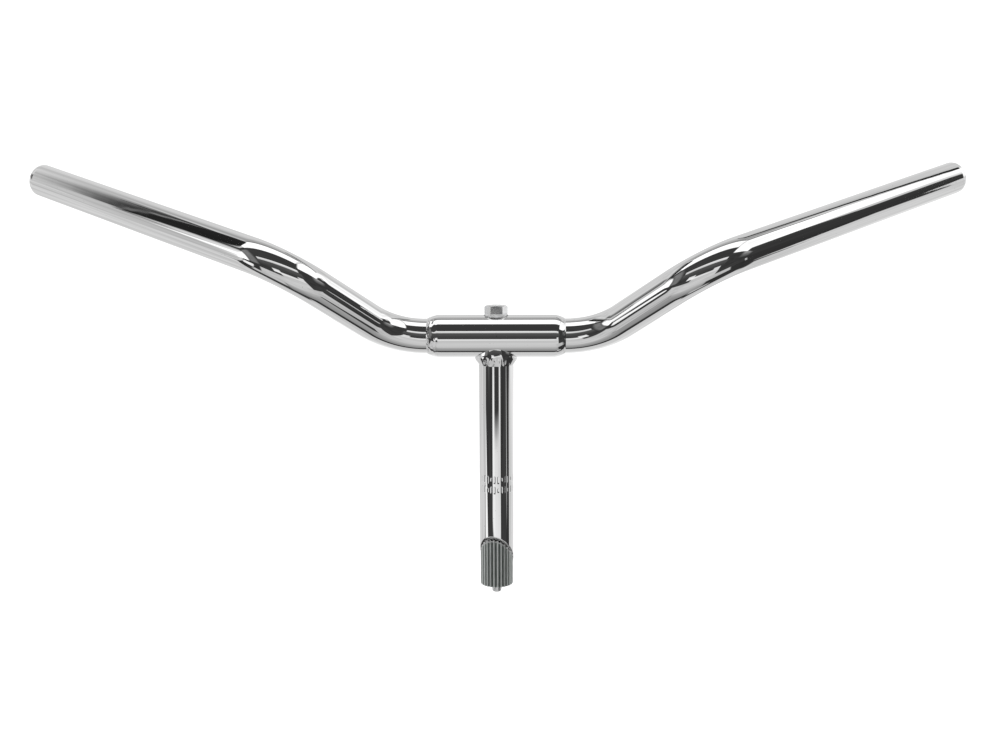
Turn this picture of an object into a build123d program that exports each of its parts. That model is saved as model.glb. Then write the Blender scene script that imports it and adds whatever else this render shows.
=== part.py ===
"""A bent tube handlebar with a centre sleeve and an expander quill stem.

Frame: +Z runs up the stem axis, +X points along the bar to the grip on the right
as seen from ahead, and +Y points back, towards the rider. The origin lies on the
stem axis at the insertion mark. Everything is in millimetres.
"""

import os
from math import cos, radians, sin

from build123d import *

# Bent tube. Its centreline is a polyline with rounded corners.
tube_radius = 11.0
tube_wall = 2.0
bar_height = 95.0
lower_bend_x = 65.5
lower_bend_radius = 47.0
upper_bend_x = 125.0
upper_bend_reach = 51.0
upper_bend_rise = 47.0
upper_bend_radius = 38.0
grip_end_x = 317.0
grip_end_sweep = 81.0
grip_end_rise = 101.0
end_chamfer = 0.4

# Sleeve around the middle of the tube, drawn down onto it at both ends.
sleeve_radius = 13.5
sleeve_full_length = 73.0
sleeve_length = 85.0
sleeve_end_radius = 12.0
braze_leg = 1.5

# Stem tube, coped to the sleeve at the top and cut on a slant at the bottom.
stem_bore_radius = 8.25
slant_depth = 143.3
slant_slope = 1.24
slant_turn = 13.0
weld_leg = 4.8
spigot_radius = 10.8
stem_lowest = 170.0

# Bolt, its spring washer and the seat sunk into the top of the sleeve.
bolt_radius = 4.0
bolt_hole_radius = 4.5
bolt_depth = 169.4
running_clearance = 0.05
hex_across_flats = 13.0
hex_height = 5.3
hex_turn = 3.0
hex_corner_radius = 7.2
hex_crown = 0.5
tip_length = 4.5
tip_radius = 3.1
tip_fillet = 1.4
seat_radius = 7.8
seat_depth = 1.2
washer_radius = 7.4
washer_bore_radius = 4.3
washer_thickness = 2.0
washer_split = 1.4
washer_split_lean = 20.0

# Expander wedge on the end of the bolt.
wedge_radius = 10.6
wedge_depth = 163.6
wedge_gap = 0.7
wedge_rim_chamfer = 0.5
flute_count = 27
flute_radius = 0.75

# Levels along the stem axis.
spigot_start = bar_height - sleeve_radius - weld_leg
washer_seat = bar_height + sleeve_radius - seat_depth
head_seat = washer_seat + washer_thickness
wedge_bottom = bar_height - wedge_depth
bolt_tip = bar_height - bolt_depth

# The slant rises towards the front, turned a little to the left.
slant_normal = Vector(
    slant_slope * sin(radians(slant_turn)),
    slant_slope * cos(radians(slant_turn)),
    1,
)
slant_plane = Plane(origin=(0, 0, bar_height - slant_depth), z_dir=slant_normal)

# Section planes whose local x runs outward from the axis.
bar_section = Plane(origin=(0, 0, bar_height), x_dir=(1, 0, 0), z_dir=(0, -1, 0))
stem_section = Plane.XZ

os.makedirs("parts", exist_ok=True)

# Bent tube: one arm swept from its open end to the middle, then mirrored, and drilled
# through both walls for the bolt.
with BuildPart() as handlebar_tube:
    with BuildLine() as centreline:
        FilletPolyline(
            (grip_end_x, grip_end_sweep, bar_height + grip_end_rise),
            (upper_bend_x, -upper_bend_reach, bar_height + upper_bend_rise),
            (lower_bend_x, 0, bar_height),
            (0, 0, bar_height),
            radius=(upper_bend_radius, lower_bend_radius),
        )
    with BuildSketch(centreline.line ^ 0):
        Circle(tube_radius)
        Circle(tube_radius - tube_wall, mode=Mode.SUBTRACT)
    sweep(path=centreline.line)
    chamfer(handlebar_tube.faces().sort_by(Axis.X)[-1].edges(), end_chamfer)
    mirror(about=Plane.YZ)
    with Locations((0, 0, bar_height + tube_radius)):
        Hole(bolt_hole_radius)
handlebar_tube.part.label = "handlebar_tube"
export_step(handlebar_tube.part, "parts/handlebar_tube.step")

# Centre sleeve with rounded shoulders and a sunk seat for the washer.
with BuildPart() as centre_sleeve:
    with BuildSketch(bar_section):
        with BuildLine():
            Line((0, tube_radius), (0, sleeve_radius))
            Line((0, sleeve_radius), (sleeve_full_length / 2, sleeve_radius))
            TangentArc(
                (sleeve_full_length / 2, sleeve_radius),
                (sleeve_length / 2, sleeve_end_radius),
                tangent=(1, 0),
            )
            Line((sleeve_length / 2, sleeve_end_radius), (sleeve_length / 2, tube_radius))
            Line((sleeve_length / 2, tube_radius), (0, tube_radius))
        make_face()
        mirror(about=Plane.YZ)
    revolve(axis=Axis((0, 0, bar_height), (1, 0, 0)))
    with Locations((0, 0, bar_height + sleeve_radius)):
        CounterBoreHole(bolt_hole_radius, seat_radius, seat_depth)
centre_sleeve.part.label = "centre_sleeve"
export_step(centre_sleeve.part, "parts/centre_sleeve.step")

# Bead of braze between one sleeve end and the tube.
with BuildPart() as braze_bead_right:
    with BuildSketch(bar_section):
        with BuildLine():
            Line((sleeve_length / 2, tube_radius), (sleeve_length / 2, sleeve_end_radius))
            SagittaArc(
                (sleeve_length / 2, sleeve_end_radius),
                (sleeve_length / 2 + braze_leg, tube_radius),
                braze_leg / 8,
            )
            Line((sleeve_length / 2 + braze_leg, tube_radius), (sleeve_length / 2, tube_radius))
        make_face()
    revolve(axis=Axis((0, 0, bar_height), (1, 0, 0)))
braze_bead_right.part.label = "braze_bead_right"
export_step(braze_bead_right.part, "parts/braze_bead_right.step")

with BuildPart() as braze_bead_left:
    mirror(braze_bead_right.part, about=Plane.YZ)
braze_bead_left.part.label = "braze_bead_left"
export_step(braze_bead_left.part, "parts/braze_bead_left.step")

# Stem tube, its top turned down a little under the weld and coped to the sleeve.
with BuildPart() as stem_tube:
    with BuildSketch(Plane.XY.offset(spigot_start)):
        Circle(tube_radius)
        Circle(stem_bore_radius, mode=Mode.SUBTRACT)
    extrude(amount=-stem_lowest)
    with BuildSketch(Plane.XY.offset(spigot_start)):
        Circle(spigot_radius)
        Circle(stem_bore_radius, mode=Mode.SUBTRACT)
    extrude(amount=bar_height - spigot_start)
    with Locations((0, 0, bar_height)):
        Cylinder(sleeve_radius, sleeve_length, rotation=(0, 90, 0), mode=Mode.SUBTRACT)
    split(bisect_by=slant_plane, keep=Keep.TOP)
stem_tube.part.label = "stem_tube"
export_step(stem_tube.part, "parts/stem_tube.step")

# Weld bead that follows the saddle between the stem and the sleeve.
with BuildPart() as stem_weld:
    with Locations((0, 0, bar_height)):
        Cylinder(sleeve_radius, sleeve_full_length, rotation=(0, 90, 0))
        Cylinder(spigot_radius, bar_height / 2, align=(Align.CENTER, Align.CENTER, Align.MAX))
    saddle = stem_weld.edges(Select.NEW)
    chamfer(saddle, weld_leg)
    with Locations((0, 0, bar_height)):
        Cylinder(sleeve_radius, sleeve_full_length, rotation=(0, 90, 0), mode=Mode.SUBTRACT)
        Cylinder(
            spigot_radius,
            bar_height / 2,
            align=(Align.CENTER, Align.CENTER, Align.MAX),
            mode=Mode.SUBTRACT,
        )
stem_weld.part.label = "stem_weld"
export_step(stem_weld.part, "parts/stem_weld.step")

# Split spring washer in the seat.
with BuildPart() as spring_washer:
    with BuildSketch(Plane.XY.offset(washer_seat)):
        Circle(washer_radius)
        Circle(washer_bore_radius, mode=Mode.SUBTRACT)
    extrude(amount=washer_thickness)
    with Locations((washer_radius, 0, washer_seat + washer_thickness / 2)):
        Box(
            2 * washer_radius - washer_bore_radius,
            washer_split,
            3 * washer_thickness,
            rotation=(washer_split_lean, 0, 0),
            mode=Mode.SUBTRACT,
        )
spring_washer.part.label = "spring_washer"
export_step(spring_washer.part, "parts/spring_washer.step")

# Bolt with a crowned hexagon head and a rounded dog point.
with BuildPart() as stem_bolt:
    with BuildSketch(Plane.XY.offset(head_seat)):
        RegularPolygon(hex_across_flats / 2, 6, major_radius=False, rotation=hex_turn)
    extrude(amount=hex_height)
    with BuildSketch(stem_section):
        with BuildLine():
            Polyline(
                (0, head_seat),
                (hex_corner_radius + hex_crown, head_seat),
                (hex_corner_radius + hex_crown, head_seat + hex_height - 2 * hex_crown),
                (hex_corner_radius - 2 * hex_crown, head_seat + hex_height),
                (0, head_seat + hex_height),
                close=True,
            )
        make_face()
    revolve(axis=Axis.Z, mode=Mode.INTERSECT)
    with BuildSketch(Plane.XY.offset(head_seat)):
        Circle(bolt_radius)
    extrude(amount=bolt_tip + tip_length - head_seat)
    with BuildSketch(Plane.XY.offset(bolt_tip + tip_length)):
        Circle(tip_radius)
    extrude(amount=-tip_length)
    fillet(stem_bolt.edges().sort_by(Axis.Z)[0], tip_fillet)
stem_bolt.part.label = "stem_bolt"
export_step(stem_bolt.part, "parts/stem_bolt.step")

# Fluted wedge, its top parallel to the slant of the stem.
with BuildPart() as expander_wedge:
    with BuildSketch(Plane.XY.offset(wedge_bottom)):
        Circle(wedge_radius)
        Circle(bolt_radius + running_clearance, mode=Mode.SUBTRACT)
    extrude(amount=wedge_depth)
    chamfer(expander_wedge.edges().group_by(Axis.Z)[0].sort_by(SortBy.LENGTH)[-1], wedge_rim_chamfer)
    with BuildSketch(Plane.XY.offset(wedge_bottom)):
        with PolarLocations(wedge_radius, flute_count):
            Circle(flute_radius)
    extrude(amount=wedge_depth, mode=Mode.SUBTRACT)
    split(bisect_by=slant_plane.offset(-wedge_gap), keep=Keep.BOTTOM)
expander_wedge.part.label = "expander_wedge"
export_step(expander_wedge.part, "parts/expander_wedge.step")
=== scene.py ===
"""Looks for a chromed moped handlebar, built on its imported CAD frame. Units are metres."""

import math
from collections import namedtuple

import bmesh
import bpy
from mathutils import Matrix, Vector, noise


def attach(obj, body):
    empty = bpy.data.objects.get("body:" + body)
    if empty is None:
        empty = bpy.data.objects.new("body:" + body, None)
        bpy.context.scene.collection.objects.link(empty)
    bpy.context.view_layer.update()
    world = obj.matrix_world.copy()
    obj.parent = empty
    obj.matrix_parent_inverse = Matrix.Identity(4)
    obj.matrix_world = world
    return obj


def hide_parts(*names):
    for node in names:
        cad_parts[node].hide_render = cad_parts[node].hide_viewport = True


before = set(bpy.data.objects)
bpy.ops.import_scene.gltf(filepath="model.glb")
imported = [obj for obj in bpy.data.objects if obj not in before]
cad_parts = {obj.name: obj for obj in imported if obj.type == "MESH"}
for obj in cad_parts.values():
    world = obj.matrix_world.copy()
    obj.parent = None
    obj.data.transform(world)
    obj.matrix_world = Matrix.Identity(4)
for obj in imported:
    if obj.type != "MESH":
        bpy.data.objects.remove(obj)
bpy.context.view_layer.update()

MM = 0.001
TAU = math.tau

# Driving dimensions, the same as the frame's.
TUBE_RADIUS = 11.0 * MM
TUBE_WALL = 2.0 * MM
BAR_HEIGHT = 95.0 * MM
LOWER_BEND = Vector((65.5, 0.0, 95.0)) * MM
LOWER_BEND_RADIUS = 47.0 * MM
UPPER_BEND = Vector((125.0, -51.0, 142.0)) * MM
UPPER_BEND_RADIUS = 38.0 * MM
GRIP_END = Vector((317.0, 81.0, 196.0)) * MM
END_ROUND = 0.4 * MM
SLEEVE_RADIUS = 13.5 * MM
SLEEVE_HALF = 42.5 * MM
SLEEVE_FULL_HALF = 36.5 * MM
SLEEVE_END_RADIUS = 12.0 * MM
BRAZE_LEG = 1.5 * MM
STEM_BORE = 8.25 * MM
SPIGOT_RADIUS = 10.8 * MM
WELD_LEG = 4.8 * MM
SLANT_CENTRE = (95.0 - 143.3) * MM
SLANT_SLOPE = 1.24
SLANT_TURN = math.radians(13.0)
SEAT_RADIUS = 7.8 * MM
SEAT_DEPTH = 1.2 * MM
WASHER_RADIUS = 7.4 * MM
WASHER_BORE = 4.3 * MM
WASHER_THICKNESS = 2.0 * MM
WASHER_SPLIT = 1.4 * MM
WASHER_LEAN = math.radians(20.0)
BOLT_RADIUS = 4.0 * MM
BOLT_HOLE = 4.5 * MM
BOLT_TIP = (95.0 - 169.4) * MM
DOG_RADIUS = 3.1 * MM
DOG_LENGTH = 4.5 * MM
DOG_ROUND = 1.4 * MM
HEX_FLATS = 13.0 * MM
HEX_HEIGHT = 5.3 * MM
HEX_TURN = math.radians(3.0)
HEX_CROWN_RADIUS = 6.2 * MM
THREAD_PITCH = 1.25 * MM
THREAD_DEPTH = 0.72 * MM
THREAD_LENGTH = 40.0 * MM
WEDGE_RADIUS = 10.6 * MM
WEDGE_BOTTOM = (95.0 - 163.6) * MM
WEDGE_GAP = 0.7 * MM
WEDGE_BORE = 4.05 * MM
WEDGE_RIM = 0.5 * MM
FLUTE_COUNT = 27
FLUTE_RADIUS = 0.75 * MM

# Levels worked out from them.
SPIGOT_START = BAR_HEIGHT - SLEEVE_RADIUS - WELD_LEG
WASHER_SEAT = BAR_HEIGHT + SLEEVE_RADIUS - SEAT_DEPTH
HEAD_SEAT = WASHER_SEAT + WASHER_THICKNESS
HEAD_TOP = HEAD_SEAT + HEX_HEIGHT

# Two rows of generic stamped ticks that mark the least insertion.
TICK_ROWS = (3.2 * MM, -3.6 * MM)
TICK_HEIGHT = 4.4 * MM
TICK_DEPTH = 0.14 * MM
TICK_COUNT = 30
SHORT_TICK = 0.55


# ---------------------------------------------------------------- mesh helpers
def ring_mesh(name, rings, closed=True, lining=(0, 0)):
    """Quads between rings of points. A closed set joins its last ring to its first.

    An open set is capped. Faces between the two rings that lining names take the second material."""
    count = len(rings[0])
    faces = []
    second = []
    for number in range(len(rings) if closed else len(rings) - 1):
        low = number * count
        high = (number + 1) % len(rings) * count
        for i in range(count):
            j = (i + 1) % count
            faces.append((low + i, low + j, high + j, high + i))
        second += [int(lining[0] <= number < lining[1])] * count
    if not closed:
        final = (len(rings) - 1) * count
        faces += [tuple(range(count)), tuple(range(final, final + count))]
        second += [0, 0]
    mesh = bpy.data.meshes.new(name)
    mesh.from_pydata([point for ring in rings for point in ring], [], faces)
    mesh.polygons.foreach_set("material_index", second)
    return mesh


def cut(mesh, tool_mesh):
    """The mesh with a tool's shape taken out of it."""
    target = bpy.data.objects.new("target", mesh)
    tool = bpy.data.objects.new("tool", tool_mesh)
    for part in (target, tool):
        bpy.context.scene.collection.objects.link(part)
    modifier = target.modifiers.new("cut", "BOOLEAN")
    modifier.operation = "DIFFERENCE"
    modifier.solver = "EXACT"
    modifier.object = tool
    graph = bpy.context.evaluated_depsgraph_get()
    result = bpy.data.meshes.new_from_object(target.evaluated_get(graph))
    bpy.data.objects.remove(target)
    bpy.data.objects.remove(tool)
    return result


def add_piece(mesh, body, node, materials, sharp_angle=32.0):
    """Smooth-shades a mesh and lets it stand for one CAD node."""
    bm = bmesh.new()
    bm.from_mesh(mesh)
    bmesh.ops.recalc_face_normals(bm, faces=bm.faces)
    bm.to_mesh(mesh)
    bm.free()
    mesh.polygons.foreach_set("use_smooth", [True] * len(mesh.polygons))
    mesh.set_sharp_from_angle(angle=math.radians(sharp_angle))
    mesh.materials.clear()
    for material in materials:
        mesh.materials.append(material)
    piece = bpy.data.objects.new(node + "_shown", mesh)
    bpy.context.scene.collection.objects.link(piece)
    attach(piece, body)
    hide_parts(node)
    return piece


def steps(start, end, count):
    """Evenly spaced values from start to end, both included."""
    return [start + (end - start) * i / count for i in range(count + 1)]


def smoothstep(low, high, value):
    t = min(1.0, max(0.0, (value - low) / (high - low)))
    return t * t * (3 - 2 * t)


def bezier(t, start, first, second, end):
    """A place along a cubic curve."""
    u = 1 - t
    return u**3 * start + 3 * u * u * t * first + 3 * u * t * t * second + t**3 * end


def around(count):
    """Evenly spaced angles for one full ring."""
    return steps(0, TAU, count)[:-1]


def polar(radius, angle, height):
    """A point at a distance and angle around the stem axis."""
    return (radius * math.cos(angle), radius * math.sin(angle), height)


def circle(radius, height, count):
    """A ring around the stem axis."""
    return [polar(radius, a, height) for a in around(count)]


def bar_circle(x, radius, count, ripple=None):
    """A ring around the middle of the bar. A ripple adds to the radius at each angle."""
    ring = []
    for angle in around(count):
        r = radius + (ripple(x, angle) if ripple else 0.0)
        ring.append((x, r * math.sin(angle), BAR_HEIGHT + r * math.cos(angle)))
    return ring


def slant_height(x, y, drop=0.0):
    """Height of the slanted cut at a place, less a drop measured square to the cut."""
    lean = SLANT_SLOPE * (x * math.sin(SLANT_TURN) + y * math.cos(SLANT_TURN))
    return SLANT_CENTRE - lean - drop * math.hypot(1.0, SLANT_SLOPE)


def saddle_height(radius, angle):
    """Height where a wall of the stem meets the underside of the sleeve."""
    return BAR_HEIGHT - math.sqrt(SLEEVE_RADIUS**2 - (radius * math.sin(angle)) ** 2)


# ---------------------------------------------------------------- bent tube
RUN_SPACING = 3.0 * MM
BEND_SPACING = 0.9 * MM


def arm_stations():
    """Points and directions along the right arm, from the middle of the bar to the grip end."""
    corners = [Vector((0, 0, BAR_HEIGHT)), LOWER_BEND, UPPER_BEND, GRIP_END]
    stations = [(corners[0], Vector((1, 0, 0)))]
    start = corners[0]
    bends = zip(corners[1:], corners[2:], (LOWER_BEND_RADIUS, UPPER_BEND_RADIUS))
    for corner, following, radius in bends:
        into = (corner - start).normalized()
        out = (following - corner).normalized()
        turn = into.angle(out)
        setback = radius * math.tan(turn / 2)
        arc_start = corner - into * setback
        side = (out - into * into.dot(out)).normalized()
        run_steps = max(2, round((arc_start - start).length / RUN_SPACING))
        for t in steps(0, 1, run_steps)[1:]:
            stations.append((start.lerp(arc_start, t), into))
        for angle in steps(0, turn, round(radius * turn / BEND_SPACING))[1:]:
            centre_shift = radius * (math.sin(angle) * into + (1 - math.cos(angle)) * side)
            heading = math.cos(angle) * into + math.sin(angle) * side
            stations.append((arc_start + centre_shift, heading))
        start = corner + out * setback
    final = (corners[-1] - start).normalized()
    last_point = corners[-1] - final * END_ROUND
    for t in steps(0, 1, round((last_point - start).length / RUN_SPACING))[1:]:
        stations.append((start.lerp(last_point, t), final))
    return stations


def framed(stations):
    """Adds to each station two directions square to the path, carried along without twist."""
    up = Vector((0, 0, 1))
    previous = stations[0][1]
    result = []
    for point, heading in stations:
        up = previous.rotation_difference(heading) @ up
        previous = heading
        result.append((point, heading, up, heading.cross(up)))
    return result


def handlebar_tube(materials):
    count = 128
    stations = framed(arm_stations())
    inner_radius = TUBE_RADIUS - TUBE_WALL

    def ring(station, radius, ahead=0.0):
        point, heading, up, side = station
        middle = point + heading * ahead
        return [middle + radius * (math.cos(a) * up + math.sin(a) * side) for a in around(count)]

    right = [ring(station, TUBE_RADIUS) for station in stations]
    for angle in steps(0, TAU / 4, 4)[1:]:
        radius = TUBE_RADIUS - END_ROUND * (1 - math.cos(angle))
        right.append(ring(stations[-1], radius, END_ROUND * math.sin(angle)))
    for angle in steps(TAU / 4, 0, 4)[:-1]:
        radius = inner_radius + END_ROUND * (1 - math.cos(angle))
        right.append(ring(stations[-1], radius, END_ROUND * math.sin(angle)))
    lining_start = len(right)
    right += [ring(station, inner_radius) for station in reversed(stations[::4])]
    left = [[Vector((-p.x, p.y, p.z)) for p in points] for points in reversed(right[1:-1])]
    rings = right + left
    mesh = ring_mesh("handlebar_tube", rings, lining=(lining_start, len(rings) - lining_start))
    drill = ring_mesh("drill", [circle(BOLT_HOLE, h, 48) for h in (60 * MM, 130 * MM)], closed=False)
    mesh = cut(mesh, drill)
    return add_piece(mesh, "bar_and_stem", "handlebar_tube", materials)


# ---------------------------------------------------------------- sleeve and braze
LEFT_DENT = 0.2 * MM
RIGHT_DENT = 0.03 * MM


def shoulder_ripple(x, angle):
    """Dents where the sleeve was drawn down and brazed: deep at the left end, faint at the right."""
    depth = LEFT_DENT if x < 0 else RIGHT_DENT
    depth *= smoothstep(SLEEVE_FULL_HALF - 1.5 * MM, SLEEVE_FULL_HALF + 3 * MM, abs(x))
    place = Vector((x / (1.7 * MM), 3.4 * math.cos(angle), 3.4 * math.sin(angle)))
    return depth * (noise.noise(place) - 0.45)


def centre_sleeve(materials):
    count = 192
    rise = SLEEVE_RADIUS - SLEEVE_END_RADIUS
    run = SLEEVE_HALF - SLEEVE_FULL_HALF
    arc_radius = (run * run + rise * rise) / (2 * rise)
    outline = [(x, SLEEVE_RADIUS) for x in steps(0, SLEEVE_FULL_HALF, 36)]
    for x in steps(0, run, 14)[1:]:
        outline.append((SLEEVE_FULL_HALF + x, SLEEVE_RADIUS - arc_radius + math.sqrt(arc_radius**2 - x * x)))
    bore = TUBE_RADIUS + 0.02 * MM
    outline += [(x, bore) for x in steps(SLEEVE_HALF, 0, 4)]
    outline += [(-x, radius) for x, radius in reversed(outline[1:-1])]
    rings = [bar_circle(x, r, count, shoulder_ripple if r > bore else None) for x, r in outline]
    seat_top = BAR_HEIGHT + SLEEVE_RADIUS + 5 * MM
    drill_outline = (
        (SEAT_RADIUS, seat_top),
        (SEAT_RADIUS, WASHER_SEAT),
        (BOLT_HOLE, WASHER_SEAT),
        (BOLT_HOLE, BAR_HEIGHT - 20 * MM),
    )
    drill = ring_mesh("drill", [circle(r, z, 96) for r, z in drill_outline], closed=False)
    mesh = cut(ring_mesh("centre_sleeve", rings), drill)
    return add_piece(mesh, "bar_and_stem", "centre_sleeve", materials)


def braze_bead(node, side, roughness, materials):
    """Bead in the corner between a sleeve end and the tube. The side is 1 at the right and -1 at the left."""

    def ripple(x, angle):
        place = Vector((x / (0.8 * MM), 6 * math.cos(angle), 6 * math.sin(angle)))
        return roughness * noise.noise(place)

    count = 160
    tuck = 0.2 * MM
    rings = []
    for t in steps(0, 1, 8):
        along = SLEEVE_HALF - tuck + (BRAZE_LEG + tuck) * t
        radius = SLEEVE_END_RADIUS - (SLEEVE_END_RADIUS - TUBE_RADIUS) * t**1.4
        rings.append(bar_circle(side * along, radius, count, ripple if 0 < t < 1 else None))
    rings.append(bar_circle(side * (SLEEVE_HALF - tuck), TUBE_RADIUS, count))
    mesh = ring_mesh(node, rings)
    return add_piece(mesh, "bar_and_stem", node, materials, sharp_angle=60.0)


# ---------------------------------------------------------------- stem and weld
def tick_depth(angle, height):
    """How deep a stamped tick cuts at a place on the stem's wall."""
    spacing = TAU / TICK_COUNT
    number = round(angle / spacing)
    across = abs(angle - number * spacing) * TUBE_RADIUS
    groove = 1 - smoothstep(0.28 * MM, 0.5 * MM, across)
    depth = 0.0
    for row, middle in enumerate(TICK_ROWS):
        tall = TICK_HEIGHT if (number + row) % 3 else SHORT_TICK * TICK_HEIGHT
        depth = max(depth, 1 - smoothstep(tall / 2 - 0.25 * MM, tall / 2 + 0.15 * MM, abs(height - middle)))
    return TICK_DEPTH * depth * groove


def stem_tube(materials):
    count = 360
    angles = around(count)
    edge = 0.35 * MM
    straight_from = -20 * MM

    def slant_ring(radius, lift=0.0, straighten=0.0):
        ring = []
        for a in angles:
            x, y = radius * math.cos(a), radius * math.sin(a)
            z = slant_height(x, y) + lift
            ring.append((x, y, z + (straight_from - z) * straighten))
        return ring

    def wall_ring(height):
        return [polar(TUBE_RADIUS - tick_depth(a, height), a, height) for a in angles]

    def cope_ring(radius):
        return [polar(radius, a, saddle_height(radius, a)) for a in angles]

    rings = [slant_ring(TUBE_RADIUS - edge), slant_ring(TUBE_RADIUS - 0.3 * edge, 0.3 * edge)]
    close_to_edge = [0.0, 0.01, 0.03]
    rings += [slant_ring(TUBE_RADIUS, edge, t) for t in close_to_edge + steps(0.07, 1, 15)]
    stamped_low = TICK_ROWS[1] - TICK_HEIGHT
    stamped_high = TICK_ROWS[0] + TICK_HEIGHT
    rings += [wall_ring(z) for z in steps(straight_from, stamped_low, 6)[1:]]
    rings += [wall_ring(z) for z in steps(stamped_low, stamped_high, 64)[1:]]
    rings += [wall_ring(z) for z in steps(stamped_high, SPIGOT_START, 24)[1:]]
    rings += [circle(SPIGOT_RADIUS, SPIGOT_START, count), cope_ring(SPIGOT_RADIUS), cope_ring(STEM_BORE)]
    lining_start = len(rings) - 1
    rings += [slant_ring(STEM_BORE, edge, t) for t in steps(1, 0, 2)]
    lining_end = len(rings) - 1
    rings.append(slant_ring(STEM_BORE + edge))
    mesh = ring_mesh("stem_tube", rings, lining=(lining_start, lining_end))
    return add_piece(mesh, "bar_and_stem", "stem_tube", materials)


# The shown bead is slimmer than the frame's fillet, and wider at the sides than in front.
BEAD_FRONT_LEG = 1.0 * MM
BEAD_SIDE_LEG = 2.6 * MM
FOOT_WANDER = 0.35 * MM
RUN_MARKS = 46
MARK_HEIGHT = 0.035 * MM
LUMP_HEIGHT = 0.12 * MM
LUMP_SIZE = 3.2 * MM


def stem_weld(materials):
    """Rounded bead of weld from the stem's wall up to the sleeve, with run marks around its foot."""
    angles = around(288)
    profile_steps = 24

    def toe(a):
        """Where the bead ends on the sleeve, one leg out from the saddle along the sleeve's skin."""
        x = SPIGOT_RADIUS * math.cos(a)
        wrap = math.asin(SPIGOT_RADIUS * math.sin(a) / SLEEVE_RADIUS)
        out_x = math.cos(a) / math.cos(wrap)
        out_s = math.sin(a)
        leg = BEAD_FRONT_LEG + (BEAD_SIDE_LEG - BEAD_FRONT_LEG) * math.cos(a) ** 2
        leg /= math.hypot(out_x, out_s)
        wrap += leg * out_s / SLEEVE_RADIUS
        hold = SLEEVE_RADIUS - 0.02 * MM
        return Vector((x + leg * out_x, hold * math.sin(wrap), BAR_HEIGHT - hold * math.cos(wrap)))

    def foot(a):
        wander = FOOT_WANDER * noise.noise(Vector((2.2 * math.cos(a), 2.2 * math.sin(a), 4.0)))
        return Vector(polar(TUBE_RADIUS, a, SPIGOT_START - 0.1 * MM + wander))

    rings = []
    for t in steps(0, 1, profile_steps):
        ring = []
        for a in angles:
            low, high = foot(a), toe(a)
            rise = Vector((0, 0, high.z - low.z))
            outward = Vector((math.cos(a), math.sin(a), 0.0))
            hollow = low + 0.3 * rise + 0.5 * MM * outward
            lip = high - 0.4 * rise + (1.3 - math.cos(a) ** 2) * MM * outward
            point = bezier(t, low, hollow, lip, high)
            marks = math.sin(RUN_MARKS * a + 7 * noise.noise(1.6 * outward))
            ripple = MARK_HEIGHT * marks * smoothstep(0.02, 0.2, t) * (1 - smoothstep(0.3, 0.6, t))
            lump = LUMP_HEIGHT * noise.noise(point / LUMP_SIZE)
            ring.append(point + outward * (ripple + lump * math.sin(math.pi * t)))
        rings.append(ring)
    rings.append([polar(SPIGOT_RADIUS, a, saddle_height(SPIGOT_RADIUS, a)) for a in angles])
    mesh = ring_mesh("stem_weld", rings)
    return add_piece(mesh, "bar_and_stem", "stem_weld", materials, sharp_angle=50.0)


# ---------------------------------------------------------------- washer and bolt
def spring_washer(materials):
    """Split ring with rounded edges and a slanted gap."""
    edge = 0.25 * MM
    low, high = WASHER_SEAT, WASHER_SEAT + WASHER_THICKNESS
    section = []
    corners = (
        (WASHER_RADIUS - edge, low + edge, -TAU / 4),
        (WASHER_RADIUS - edge, high - edge, 0.0),
        (WASHER_BORE + edge, high - edge, TAU / 4),
        (WASHER_BORE + edge, low + edge, TAU / 2),
    )
    for radius, height, start in corners:
        for a in steps(start, start + TAU / 4, 4):
            section.append((radius + edge * math.cos(a), height + edge * math.sin(a)))
    rings = []
    middle = (low + high) / 2
    for turn in steps(0, 1, 120):
        ring = []
        for radius, height in section:
            lean = (height - middle) * math.tan(WASHER_LEAN)
            first = (WASHER_SPLIT / 2 + lean) / radius
            last = TAU - (WASHER_SPLIT / 2 - lean) / radius
            ring.append(polar(radius, first + (last - first) * turn, height))
        rings.append(ring)
    mesh = ring_mesh("spring_washer", rings, closed=False)
    return add_piece(mesh, "bar_and_stem", "spring_washer", materials)


def hexagon_outline():
    """Points around the head, with slightly rounded corners."""
    corner_round = 0.35 * MM
    inner_corner = (HEX_FLATS / 2 - corner_round) / math.cos(TAU / 12)
    points = []
    for side in range(6):
        middle = HEX_TURN + TAU * side / 6
        for a in steps(middle - TAU / 12, middle + TAU / 12, 5):
            x = inner_corner * math.cos(middle) + corner_round * math.cos(a)
            y = inner_corner * math.sin(middle) + corner_round * math.sin(a)
            points.append((x, y))
        following = middle + TAU / 6
        next_x = inner_corner * math.cos(following) + corner_round * math.cos(middle + TAU / 12)
        next_y = inner_corner * math.sin(following) + corner_round * math.sin(middle + TAU / 12)
        x, y = points[-1]
        points += [(x + (next_x - x) * t, y + (next_y - y) * t) for t in steps(0, 1, 9)[1:-1]]
    return points


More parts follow.
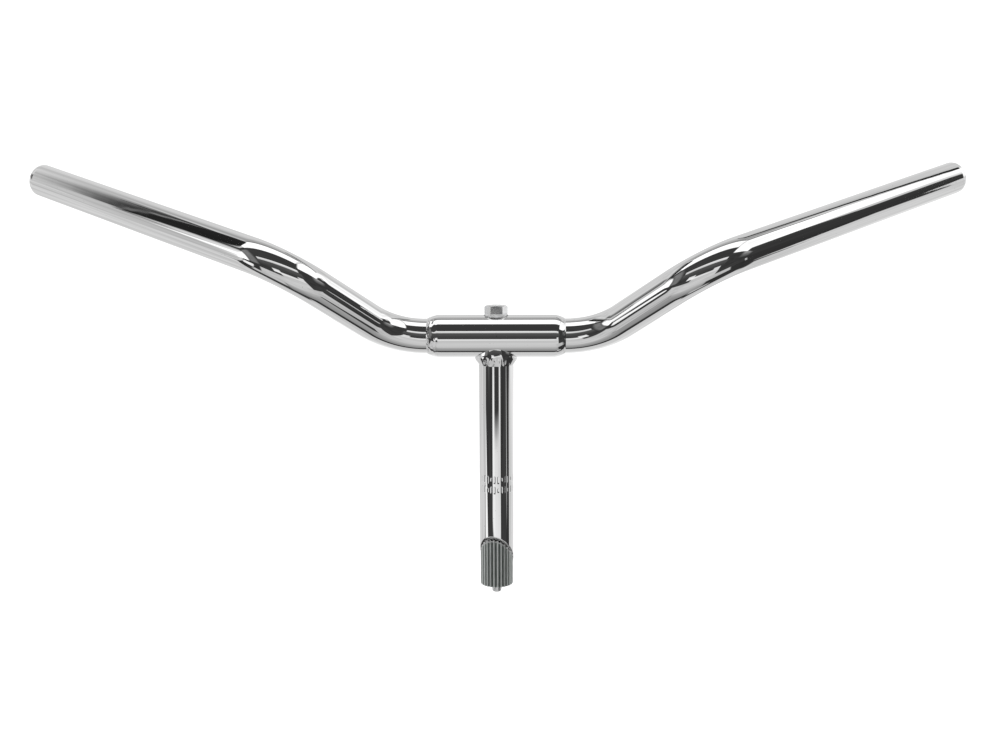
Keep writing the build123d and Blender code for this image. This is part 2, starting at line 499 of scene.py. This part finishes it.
def stem_bolt(materials):
    outline = hexagon_outline()
    angles = [math.atan2(y, x) for x, y in outline]
    thread_end = BOLT_TIP + DOG_LENGTH
    thread_start = thread_end + THREAD_LENGTH
    shank = BOLT_RADIUS - 0.02 * MM
    dish = 0.12 * MM
    chamfer = 0.12 * MM
    inset = 0.985

    def round_ring(radius, height):
        return [polar(radius, a, height) for a in angles]

    def hex_ring(height, shrink=1.0):
        return [(shrink * x, shrink * y, height) for x, y in outline]

    def thread_ring(height):
        fade = smoothstep(0, THREAD_PITCH, thread_start - height)
        fade *= smoothstep(0, 0.7 * MM, height - thread_end + 0.4 * MM)
        ring = []
        for a in angles:
            phase = (height / THREAD_PITCH - a / TAU) % 1.0
            valley = 1 - abs(2 * phase - 1)
            ring.append(polar(shank - THREAD_DEPTH * fade * smoothstep(0.1, 0.95, valley), a, height))
        return ring

    def crown_height(x, y):
        return HEAD_TOP - (math.hypot(x, y) - HEX_CROWN_RADIUS) / 1.5

    rings = [round_ring(0.4 * MM, HEAD_TOP - dish), round_ring(4.6 * MM, HEAD_TOP - dish)]
    rings += [round_ring(5.2 * MM, HEAD_TOP), round_ring(HEX_CROWN_RADIUS, HEAD_TOP)]
    rings.append([(inset * x, inset * y, crown_height(inset * x, inset * y)) for x, y in outline])
    rings.append([(x, y, crown_height(x, y) - chamfer) for x, y in outline])
    rings += [hex_ring(HEAD_SEAT + lift) for lift in (2.6 * MM, 0.15 * MM)]
    rings.append(hex_ring(HEAD_SEAT, inset))
    rings.append(round_ring(BOLT_RADIUS + 0.25 * MM, HEAD_SEAT))
    rings.append(round_ring(shank, HEAD_SEAT - 0.3 * MM))
    rings += [round_ring(shank, z) for z in steps(90 * MM, thread_start + MM, 8)]
    thread_rings = round((thread_start - thread_end) / (THREAD_PITCH / 8))
    rings += [thread_ring(z) for z in steps(thread_start, thread_end, thread_rings)]
    rings.append(round_ring(DOG_RADIUS, thread_end - 0.1 * MM))
    for a in steps(0, TAU / 4, 8):
        radius = DOG_RADIUS - DOG_ROUND * (1 - math.cos(a))
        rings.append(round_ring(radius, BOLT_TIP + DOG_ROUND * (1 - math.sin(a))))
    mesh = ring_mesh("stem_bolt", rings, closed=False)
    return add_piece(mesh, "bolt", "stem_bolt", materials, sharp_angle=26.0)


# ---------------------------------------------------------------- wedge
PIT_DEPTH = 0.05 * MM
PIT_SIZE = 0.9 * MM


def flute_depth(angle):
    """How far a round flute cuts below the wedge's full radius at an angle."""
    spacing = TAU / FLUTE_COUNT
    across = abs((angle + spacing / 2) % spacing - spacing / 2) * WEDGE_RADIUS
    if across >= FLUTE_RADIUS:
        return 0.0
    return math.sqrt(FLUTE_RADIUS**2 - across**2)


def expander_wedge(materials):
    angles = around(FLUTE_COUNT * 20)

    def ring(height_at, shrink=0.0):
        """A ring of the fluted wall, drawn in by shrink."""
        points = []
        for a in angles:
            radius = WEDGE_RADIUS - shrink - flute_depth(a)
            x, y = radius * math.cos(a), radius * math.sin(a)
            z = height_at(x, y)
            pit = PIT_DEPTH * noise.noise(Vector((x, y, z)) / PIT_SIZE)
            scale = 1 + (pit - 0.02 * MM) / radius
            points.append((x * scale, y * scale, z))
        return points

    def flat(height):
        return lambda x, y: height

    def below_cut(drop):
        return lambda x, y: slant_height(x, y, WEDGE_GAP + drop)

    def part_way(t):
        return lambda x, y: (WEDGE_BOTTOM + WEDGE_RIM) * (1 - t) + below_cut(0.5 * MM)(x, y) * t

    def bore_ring(radius, height_at):
        points = []
        for a in angles:
            x, y = radius * math.cos(a), radius * math.sin(a)
            points.append((x, y, height_at(x, y)))
        return points

    rings = [ring(flat(WEDGE_BOTTOM), 0.5 * WEDGE_RIM)]
    rings.append(ring(flat(WEDGE_BOTTOM + 0.15 * MM), 0.1 * WEDGE_RIM))
    rings += [ring(part_way(t)) for t in steps(0, 1, 44)]
    rings += [ring(below_cut(0.16 * MM), 0.1 * MM), ring(below_cut(0.0), 0.4 * MM)]
    rings += [bore_ring(r, below_cut(0.0)) for r in steps(8.5 * MM, WEDGE_BORE + 0.3 * MM, 3)]
    rings.append(bore_ring(WEDGE_BORE, below_cut(0.3 * MM)))
    rings.append(bore_ring(WEDGE_BORE, flat(WEDGE_BOTTOM + 0.6 * MM)))
    rings += [bore_ring(r, flat(WEDGE_BOTTOM)) for r in (WEDGE_BORE + 0.6 * MM, 7.5 * MM)]
    mesh = ring_mesh("expander_wedge", rings)
    return add_piece(mesh, "wedge", "expander_wedge", materials, sharp_angle=40.0)


# ---------------------------------------------------------------- node helpers
class Nodes:
    """Short calls for adding nodes to one tree."""

    def __init__(self, tree):
        self.tree = tree
        self.place = self.add("ShaderNodeTexCoord").outputs["Object"]

    def add(self, kind, inputs=(), **settings):
        made = self.tree.nodes.new(kind)
        for key, value in settings.items():
            setattr(made, key, value)
        for key, value in dict(inputs).items():
            self.put(made.inputs[key], value)
        return made

    def put(self, socket, value):
        if isinstance(value, bpy.types.NodeSocket):
            self.tree.links.new(value, socket)
        else:
            socket.default_value = value

    def math(self, operation, first, second=0.0):
        return self.add("ShaderNodeMath", {0: first, 1: second}, operation=operation).outputs[0]

    def remap(self, value, low, high, start=0.0, end=1.0):
        """Value eased from start at low to end at high."""
        inputs = {"Value": value, "From Min": low, "From Max": high, "To Min": start, "To Max": end}
        return self.add("ShaderNodeMapRange", inputs, interpolation_type="SMOOTHSTEP").outputs["Result"]

    def noise(self, scale, detail=2.0, roughness=0.5, stretch=(1.0, 1.0, 1.0)):
        place = self.add("ShaderNodeMapping", {"Vector": self.place, "Scale": stretch}).outputs[0]
        inputs = {"Vector": place, "Scale": scale, "Detail": detail, "Roughness": roughness}
        return self.add("ShaderNodeTexNoise", inputs).outputs["Fac"]

    def colours(self, factor, first, second):
        """A colour between two others."""
        inputs = {0: factor, 6: first, 7: second}
        return self.add("ShaderNodeMix", inputs, data_type="RGBA").outputs[2]

    def axis_distance(self):
        """Distance from the stem axis."""
        inputs = {0: self.place, 1: (1.0, 1.0, 0.0)}
        across = self.add("ShaderNodeVectorMath", inputs, operation="MULTIPLY").outputs[0]
        return self.add("ShaderNodeVectorMath", {0: across}, operation="LENGTH").outputs["Value"]

    def bump(self, height):
        """A normal from a height in metres."""
        return self.add("ShaderNodeBump", {"Height": height, "Strength": 1.0, "Distance": 1.0}).outputs[0]


def grey(value, warmth=0.0):
    return (value * (1 + warmth), value, value * (1 - warmth), 1.0)


def new_material(name):
    material = bpy.data.materials.new(name)
    material.use_nodes = True
    return material, Nodes(material.node_tree), material.node_tree.nodes["Principled BSDF"]


# ---------------------------------------------------------------- materials
def chrome(name, bright, wave_height, wave_size, haze):
    """Chrome plate with a faint swell, polishing lines, handling marks and a few specks."""
    material, nodes, surface = new_material(name)
    tone = nodes.noise(1 / (40 * MM), 3.0)
    specks = nodes.remap(nodes.noise(1 / (1.4 * MM), 2.0, 0.6), 0.7, 0.78)
    smear = nodes.noise(1 / (22 * MM), 4.0, 0.65, (1.0, 1.7, 0.6))
    clean = nodes.colours(tone, grey(bright, 0.004), grey(bright * 0.96, -0.004))
    nodes.put(surface.inputs["Base Color"], nodes.colours(specks, clean, grey(0.55 * bright, 0.01)))
    nodes.put(surface.inputs["Roughness"], nodes.remap(smear, 0.35, 0.75, 0.6 * haze, 1.8 * haze))
    surface.inputs["Metallic"].default_value = 1.0
    swell = nodes.math("MULTIPLY", nodes.noise(1 / wave_size, 1.0), wave_height)
    lines = nodes.math("MULTIPLY", nodes.noise(1 / (0.8 * MM), 2.0), 0.4e-6)
    pits = nodes.math("MULTIPLY", specks, -3e-6)
    height = nodes.math("ADD", nodes.math("ADD", swell, lines), pits)
    nodes.put(surface.inputs["Normal"], nodes.bump(height))
    return material


def raw_steel():
    """Unplated steel inside the tubes, with scale and a little rust bloom."""
    material, nodes, surface = new_material("raw_steel")
    patches = nodes.noise(1 / (7 * MM), 5.0, 0.6)
    grain = nodes.noise(1 / (0.6 * MM), 3.0)
    steel = nodes.colours(grain, grey(0.16, 0.03), grey(0.26, 0.02))
    rust = nodes.remap(patches, 0.55, 0.72)
    nodes.put(surface.inputs["Base Color"], nodes.colours(rust, steel, (0.16, 0.085, 0.045, 1.0)))
    nodes.put(surface.inputs["Roughness"], nodes.remap(patches, 0.3, 0.7, 0.42, 0.7))
    nodes.put(surface.inputs["Metallic"], nodes.remap(rust, 0.0, 1.0, 0.9, 0.25))
    nodes.put(surface.inputs["Normal"], nodes.bump(nodes.math("MULTIPLY", grain, 12e-6)))
    return material


def zinc(name, bright, turned, haze, metallic):
    """Bright zinc plate with turning rings, fine grain and a faint blue cast."""
    material, nodes, surface = new_material(name)
    grain = nodes.noise(1 / (0.5 * MM), 3.0, 0.6)
    cloud = nodes.noise(1 / (4 * MM), 3.0)
    radius = nodes.axis_distance()
    rings = nodes.math("SINE", nodes.math("MULTIPLY", radius, TAU / (0.35 * MM)))
    tint = nodes.colours(cloud, grey(bright, -0.03), grey(bright * 0.88, 0.02))
    dull = nodes.remap(grain, 0.55, 0.8)
    nodes.put(surface.inputs["Base Color"], nodes.colours(dull, tint, grey(0.7 * bright)))
    nodes.put(surface.inputs["Roughness"], nodes.remap(cloud, 0.3, 0.7, haze, 1.8 * haze))
    surface.inputs["Metallic"].default_value = metallic
    height = nodes.math("ADD", nodes.math("MULTIPLY", rings, turned), nodes.math("MULTIPLY", grain, 3e-6))
    nodes.put(surface.inputs["Normal"], nodes.bump(height))
    return material


def wedge_steel():
    """Bare steel, pitted, with a brighter rim at the cut; darker flutes are painted shade and lighter ridges
    a painted highlight.
    """
    material, nodes, surface = new_material("bare_wedge_steel")
    grain = nodes.noise(1 / (0.45 * MM), 4.0, 0.65)
    blotch = nodes.noise(1 / (2.6 * MM), 3.0, 0.6)
    radius = nodes.axis_distance()
    # Painted shade and highlight: the colour darkens down into the flutes and lightens on the ridges, by
    # distance from the axis.
    ridge_highlight_mask = nodes.remap(radius, WEDGE_RADIUS - 0.7 * MM, WEDGE_RADIUS - 0.05 * MM)
    lean = (SLANT_SLOPE * math.sin(SLANT_TURN), SLANT_SLOPE * math.cos(SLANT_TURN), 1.0)
    slanted = nodes.add("ShaderNodeVectorMath", {0: nodes.place, 1: lean}, operation="DOT_PRODUCT")
    level = slanted.outputs["Value"]
    cut_level = SLANT_CENTRE - WEDGE_GAP * math.hypot(1.0, SLANT_SLOPE)
    rim = nodes.remap(level, cut_level - 1.5 * MM, cut_level - 0.9 * MM)
    # Painted shade colour for the flutes, varied by random blotches; painted highlight colour for the ridges,
    # varied by grain.
    flute_shade_colour = nodes.colours(blotch, (0.09, 0.102, 0.096, 1.0), (0.19, 0.208, 0.2, 1.0))
    ridge_highlight_colour = nodes.colours(grain, (0.36, 0.385, 0.375, 1.0), (0.9, 0.93, 0.91, 1.0))
    body = nodes.colours(ridge_highlight_mask, flute_shade_colour, ridge_highlight_colour)
    nodes.put(surface.inputs["Base Color"], nodes.colours(rim, body, grey(0.78)))
    rough = nodes.remap(grain, 0.3, 0.7, 0.36, 0.56)
    polish = nodes.remap(rim, 0.0, 1.0, 1.0, 0.6)
    nodes.put(surface.inputs["Roughness"], nodes.math("MULTIPLY", rough, polish))
    surface.inputs["Metallic"].default_value = 0.9
    pits = nodes.math("MULTIPLY", grain, 130e-6)
    height = nodes.math("ADD", pits, nodes.math("MULTIPLY", blotch, 80e-6))
    nodes.put(surface.inputs["Normal"], nodes.bump(height))
    return material


# ---------------------------------------------------------------- studio
FLOOR_HEIGHT = -0.45
FLOOR_RADIUS = 6.0
LAMP_HEIGHT = 2.4
LAMP_SIZE = 3.0
LAMP_POWER = 20.0
WORLD_STRENGTH = 1.25
DOME_RADIUS = 20.0
CAMERA_PLACE = Vector((6.6, -704.6, 172.6)) * MM
CAMERA_LENS = 39.93
CAMERA_PITCH = 0.1454
CAMERA_YAW = -0.00595
CAMERA_ROLL = -0.0026

# Panels and dark flags on the studio dome, each laid over the ones before it. All are in degrees:
# side runs from the object's left (-90) to its right (90), and pitch is the angle about the bar,
# from straight ahead (0) up over the top (90) to straight behind (180). Shade is the brightness
# at the low and high ends of the pitch, soft the width of the edge, and tilt the slope of a panel.
Panel = namedtuple("Panel", "side pitch shade soft tilt", defaults=(2.0, 0.0))
BACKDROP_SHADE = 0.71
PANELS = (
    # Backdrop behind and below, and a soft box high at the right.
    Panel((-90, 90), (140, 182), (0.7, 0.85), 20),
    Panel((-16, 16), (-168, -98), (1.0, 0.75), 10),
    Panel((18, 82), (-182, -150), (1.1, 0.8), 14),
    Panel((-26, 26), (103, 136), (0.3, 0.7), 6),
    Panel((46, 82), (92, 134), (1.35, 1.1), 8),
    # Dark room ahead and at the right, with a few dim patches in it.
    Panel((-72, 76), (-100, 75), (0.035, 0.05), 3),
    Panel((-42, 32), (-8, 20), (0.05, 0.1)),
    Panel((-60, -46), (-12, 62), (0.2, 0.24), 8),
    Panel((58, 91), (-104, 77), (0.035, 0.045), 3),
    Panel((66, 91), (-100, 88), (0.035, 0.045), 3),
    Panel((80, 91), (-126, 98), (0.035, 0.035), 3),
    Panel((48, 66), (-114, -98), (0.05, 0.04), 5),
    Panel((54, 70), (8, 46), (0.1, 0.35), 8),
    # Soft boxes overhead, the grey wall at the far left, and thin dark lines above and behind.
    Panel((-46, 28.5), (73, 105), (1.35, 1.35)),
    Panel((31, 59), (46, 106), (1.35, 1.35), 3),
    Panel((-80, -62), (94, 120), (0.06, 0.3), 7),
    Panel((-90, -30), (84, 97), (0.03, 0.68), 3, 0.78),
    Panel((-91, -70), (20, 88), (0.55, 0.6), 4),
    Panel((-91, -77), (-180, 24), (0.6, 0.6), 2),
    Panel((-76, -28), (80, 90.5), (0.015, 0.02), 2, 0.78),
    Panel((10, 46), (114.2, 117.8), (0.015, 0.02), 1.5, -0.62),
    Panel((-38, 34), (104.8, 107.2), (0.03, 0.03), 0.8),
    # Lit strip ahead, and bright windows at the left.
    Panel((-40, 28), (21, 32), (0.7, 1.0), 2),
    Panel((-81, -62), (-14, 52), (1.35, 1.35), 4),
    Panel((-82, -75), (-28, -10), (1.2, 1.35), 3),
    Panel((-74, -64), (50, 72), (1.0, 0.7), 6),
    Panel((-71, -57), (-62, -33), (0.9, 1.2), 2),
    # Table top ahead and below, with dark gaps along it and paler patches nearer the stem.
    Panel((-48, 48), (-62, -18), (0.62, 0.66), 2.5),
    Panel((-50, -15), (-28, -17), (0.05, 0.05), 2),
    Panel((28, 66), (-40, -17), (0.05, 0.05), 2),
    Panel((-24, 24), (-84, -60), (0.3, 0.5), 4),
    Panel((-56, -25), (-79, -62), (0.62, 0.6), 4),
    Panel((15, 30), (-91, -83), (0.6, 0.55), 4),
    Panel((66.5, 70), (-46, -20), (0.55, 0.55), 1),
    Panel((-60, -8), (-97, -84), (0.03, 0.08), 5),
    Panel((-13, 13), (-126, -94), (0.75, 0.7)),
    # Pale panels ahead, just below level.
    Panel((-25, -13), (-18, -4), (0.95, 0.85), 1.5),
    Panel((17, 27), (-18, -4), (0.95, 0.85), 1.5),
    Panel((-15, 27), (-19, -11.5), (0.95, 0.8), 2.5),
)


def studio_dome():
    """Soft boxes and flags that only reflections see, as one glowing dome around the object."""
    mesh = bpy.data.meshes.new("studio_dome")
    bm = bmesh.new()
    bmesh.ops.create_icosphere(bm, subdivisions=5, radius=DOME_RADIUS)
    bm.to_mesh(mesh)
    bm.free()
    dome = bpy.data.objects.new("studio_dome", mesh)
    dome.location = (0, 0, BAR_HEIGHT)
    bpy.context.scene.collection.objects.link(dome)
    material = bpy.data.materials.new("studio_panels")
    material.use_nodes = True
    material.cycles.emission_sampling = "NONE"
    tree = material.node_tree
    tree.nodes.clear()
    nodes = Nodes(tree)
    parts = nodes.add("ShaderNodeSeparateXYZ", {0: nodes.place}).outputs
    ahead = nodes.math("MULTIPLY", parts["Y"], -1.0)
    pitch = nodes.math("DEGREES", nodes.math("ARCTAN2", parts["Z"], ahead))
    side = nodes.math("DEGREES", nodes.math("ARCSINE", nodes.math("DIVIDE", parts["X"], DOME_RADIUS)))
    shade = BACKDROP_SHADE
    for panel in PANELS:
        middle = sum(panel.side) / 2
        reach = middle - panel.side[0]
        aside = nodes.math("SUBTRACT", side, middle)
        level = pitch
        if panel.tilt:
            level = nodes.math("SUBTRACT", pitch, nodes.math("MULTIPLY", aside, panel.tilt))
        height = sum(panel.pitch) / 2
        rise = height - panel.pitch[0]
        above = nodes.math("SUBTRACT", level, height)
        edge = panel.soft / 2
        across = nodes.remap(nodes.math("ABSOLUTE", aside), reach - edge, reach + edge, 1.0, 0.0)
        along = nodes.remap(nodes.math("ABSOLUTE", above), rise - edge, rise + edge, 1.0, 0.0)
        inside = nodes.math("MULTIPLY", across, along)
        glow = nodes.remap(above, -rise, rise, *panel.shade)
        shade = nodes.add("ShaderNodeMix", {0: inside, 2: shade, 3: glow}, data_type="FLOAT").outputs[0]
    uneven = nodes.remap(nodes.noise(1 / DOME_RADIUS, 3.0, 0.6, (1.2, 6.0, 6.0)), 0.25, 0.75, 0.82, 1.14)
    shade = nodes.math("MULTIPLY", shade, uneven)
    glow = nodes.add("ShaderNodeEmission", {"Strength": shade})
    nodes.add("ShaderNodeOutputMaterial", {"Surface": glow.outputs[0]})
    mesh.materials.append(material)
    for ray in ("camera", "diffuse", "transmission", "volume_scatter", "shadow"):
        setattr(dome, "visible_" + ray, False)


def floor():
    """Plain pale floor well below the stem."""
    mesh = bpy.data.meshes.new("floor")
    bm = bmesh.new()
    bmesh.ops.create_circle(bm, cap_ends=True, segments=96, radius=FLOOR_RADIUS)
    bm.to_mesh(mesh)
    bm.free()
    plane = bpy.data.objects.new("floor", mesh)
    plane.location = (0, 0, FLOOR_HEIGHT)
    plane.visible_glossy = False
    bpy.context.scene.collection.objects.link(plane)
    material, nodes, surface = new_material("pale_floor")
    tone = nodes.noise(1 / 0.4, 2.0)
    nodes.put(surface.inputs["Base Color"], nodes.colours(tone, grey(0.9), grey(0.88)))
    nodes.put(surface.inputs["Roughness"], nodes.remap(tone, 0.3, 0.7, 0.8, 0.9))
    mesh.materials.append(material)


def soft_light():
    """Even white surroundings and one wide lamp overhead."""
    world = bpy.data.worlds.new("studio_white")
    world.use_nodes = True
    world.node_tree.nodes["Background"].inputs["Color"].default_value = grey(1.0)
    world.node_tree.nodes["Background"].inputs["Strength"].default_value = WORLD_STRENGTH
    bpy.context.scene.world = world
    lamp = bpy.data.lights.new("overhead_soft_light", "AREA")
    lamp.shape = "DISK"
    lamp.size = LAMP_SIZE
    lamp.energy = LAMP_POWER
    overhead = bpy.data.objects.new("overhead_soft_light", lamp)
    overhead.location = (0, 0, LAMP_HEIGHT)
    overhead.visible_glossy = False
    bpy.context.scene.collection.objects.link(overhead)


def camera():
    """Camera straight ahead of the bar, a little above its middle, looking slightly down."""
    data = bpy.data.cameras.new("photo_camera")
    data.lens = CAMERA_LENS
    data.sensor_width = 36.0
    data.clip_start = 0.01
    turn = Matrix.Rotation(CAMERA_ROLL, 3, "Y") @ Matrix.Rotation(CAMERA_PITCH, 3, "X")
    right, ahead, up = turn @ Matrix.Rotation(CAMERA_YAW, 3, "Z")
    viewer = bpy.data.objects.new("photo_camera", data)
    axes = Matrix((right, up, -ahead)).transposed()
    viewer.matrix_world = Matrix.Translation(CAMERA_PLACE) @ axes.to_4x4()
    bpy.context.scene.collection.objects.link(viewer)
    bpy.context.scene.camera = viewer


# ---------------------------------------------------------------- build
bare = raw_steel()
handlebar_tube([chrome("chrome_tube", 0.86, 26e-6, 16 * MM, 0.03), bare])
centre_sleeve([chrome("chrome_sleeve", 0.86, 22e-6, 14 * MM, 0.03)])
rough_braze = chrome("chrome_braze", 0.8, 40e-6, 2 * MM, 0.05)
braze_bead("braze_bead_left", -1, 0.22 * MM, [rough_braze])
braze_bead("braze_bead_right", 1, 0.07 * MM, [rough_braze])
stem_tube([chrome("chrome_stem", 0.86, 12e-6, 14 * MM, 0.03), bare])
stem_weld([chrome("chrome_weld", 0.84, 25e-6, 2.5 * MM, 0.04)])
spring_washer([zinc("zinc_washer", 0.8, 0.0, 0.3, 0.6)])
stem_bolt([zinc("zinc_bolt", 0.8, 1.5e-6, 0.15, 0.9)])
expander_wedge([wedge_steel()])

soft_light()
floor()
studio_dome()
camera()
bpy.context.scene.view_settings.view_transform = "Standard"
